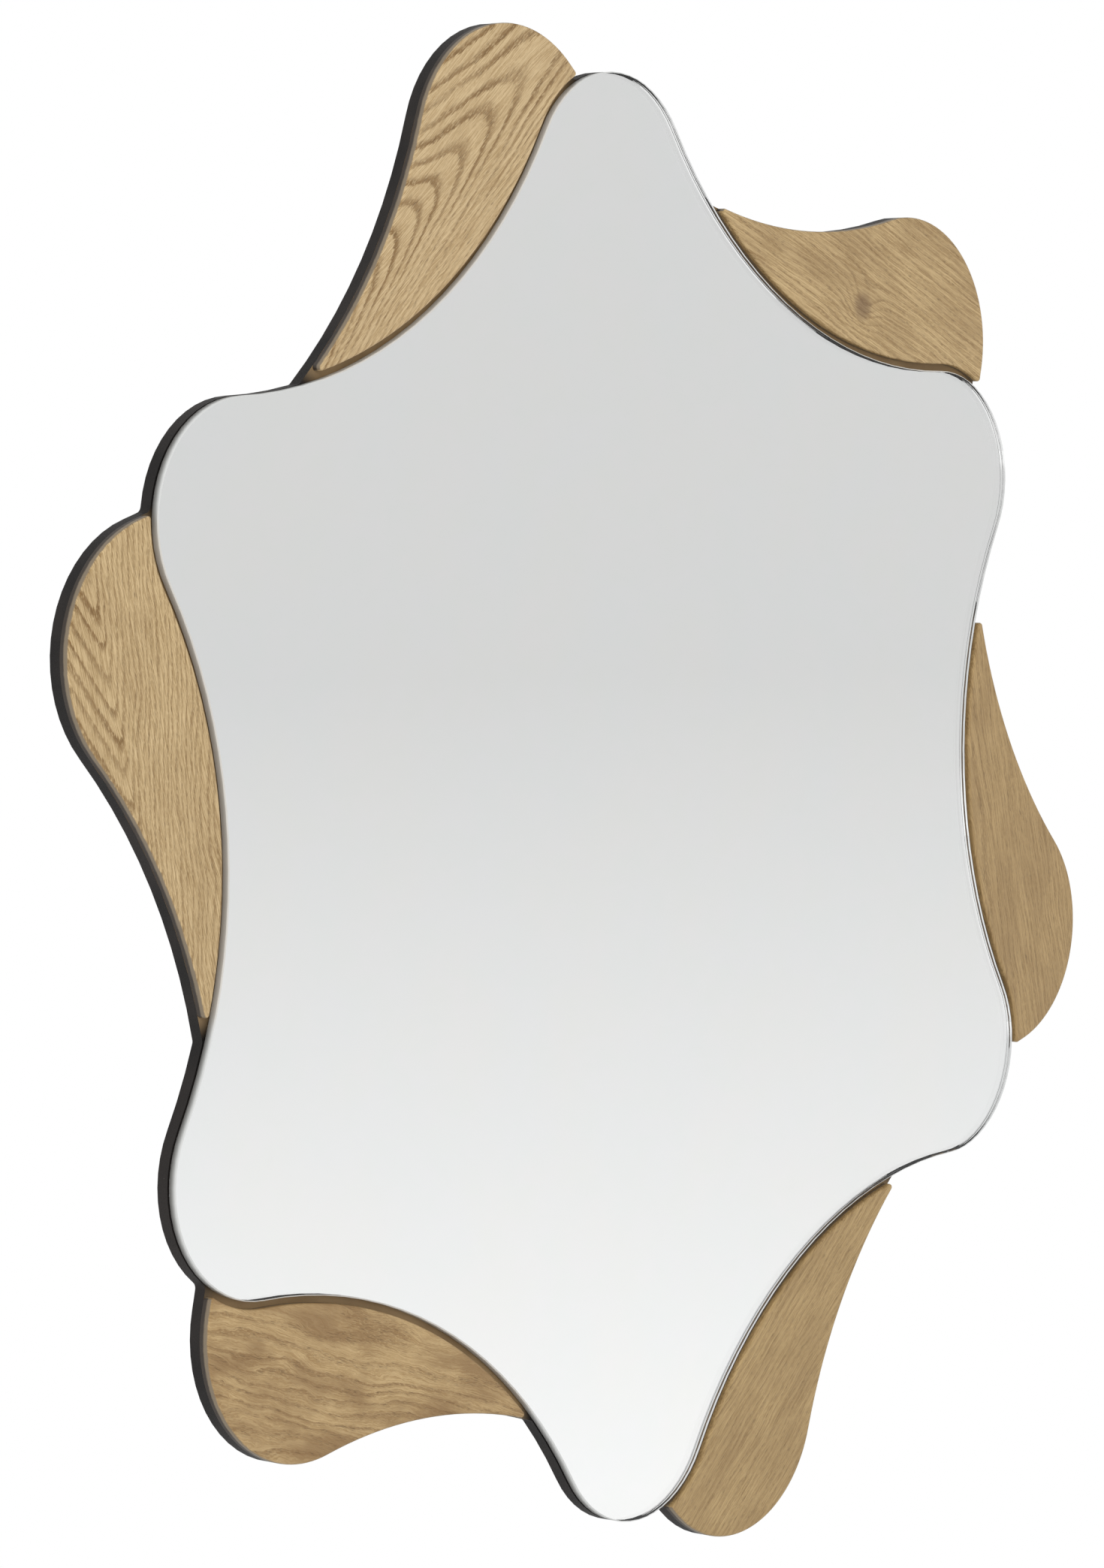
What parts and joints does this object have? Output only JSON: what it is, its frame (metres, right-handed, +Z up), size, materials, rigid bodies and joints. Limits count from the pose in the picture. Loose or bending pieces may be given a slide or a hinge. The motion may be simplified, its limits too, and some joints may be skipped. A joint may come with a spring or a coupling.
{
  "type": "wall mirror",
  "caption": "Star-shaped wall mirror: lobed mirror glass over a black board whose turned lobes carry oak facings, hung on hinged D-rings.",
  "frame": {"origin": "centre of the wall plane, where the bumpers' faces touch the wall, level with the centre of the mirror star", "axes": "+Z up, -Y out of the wall towards the viewer, +X to the viewer's right"},
  "size_m": [0.676, 0.0166, 0.6838],
  "materials": {
    "oak": "oak veneer, satin lacquer, darker edge",
    "black_board": "fibreboard sprayed matt black",
    "mirror": "silvered float glass with a polished edge",
    "tape": "black double-sided foam tape",
    "bumper": "matt black rubber",
    "strap_steel": "zinc plated sheet steel",
    "ring_steel": "zinc plated steel wire",
    "rivet_steel": "nickel plated steel"
  },
  "bodies": {
    "mirror": {"backboard": "black_board", "mirror_glass": "mirror", "bonding_tape": "tape", "oak_facing_1": "oak", "oak_facing_2": "oak", "oak_facing_3": "oak", "oak_facing_4": "oak", "oak_facing_5": "oak", "oak_facing_6": "oak", "wall_bumper_1": "bumper", "wall_bumper_2": "bumper", "wall_bumper_3": "bumper", "wall_bumper_4": "bumper", "hanger_strap_left": "strap_steel", "hanger_strap_right": "strap_steel", "hanger_rivets": "rivet_steel"},
    "ring_left": {"d_ring_left": "ring_steel"},
    "ring_right": {"d_ring_right": "ring_steel"}
  },
  "joints": [
    {"name": "ring_left_hinge", "type": "hinge", "parent": "mirror", "child": "ring_left", "pos_m": [-0.15, -0.00345, 0.13], "axis": [1, 0, 0], "range_deg": [0, 180]},
    {"name": "ring_right_hinge", "type": "hinge", "parent": "mirror", "child": "ring_right", "pos_m": [0.15, -0.00345, 0.13], "axis": [1, 0, 0], "range_deg": [0, 180]}
  ]
}
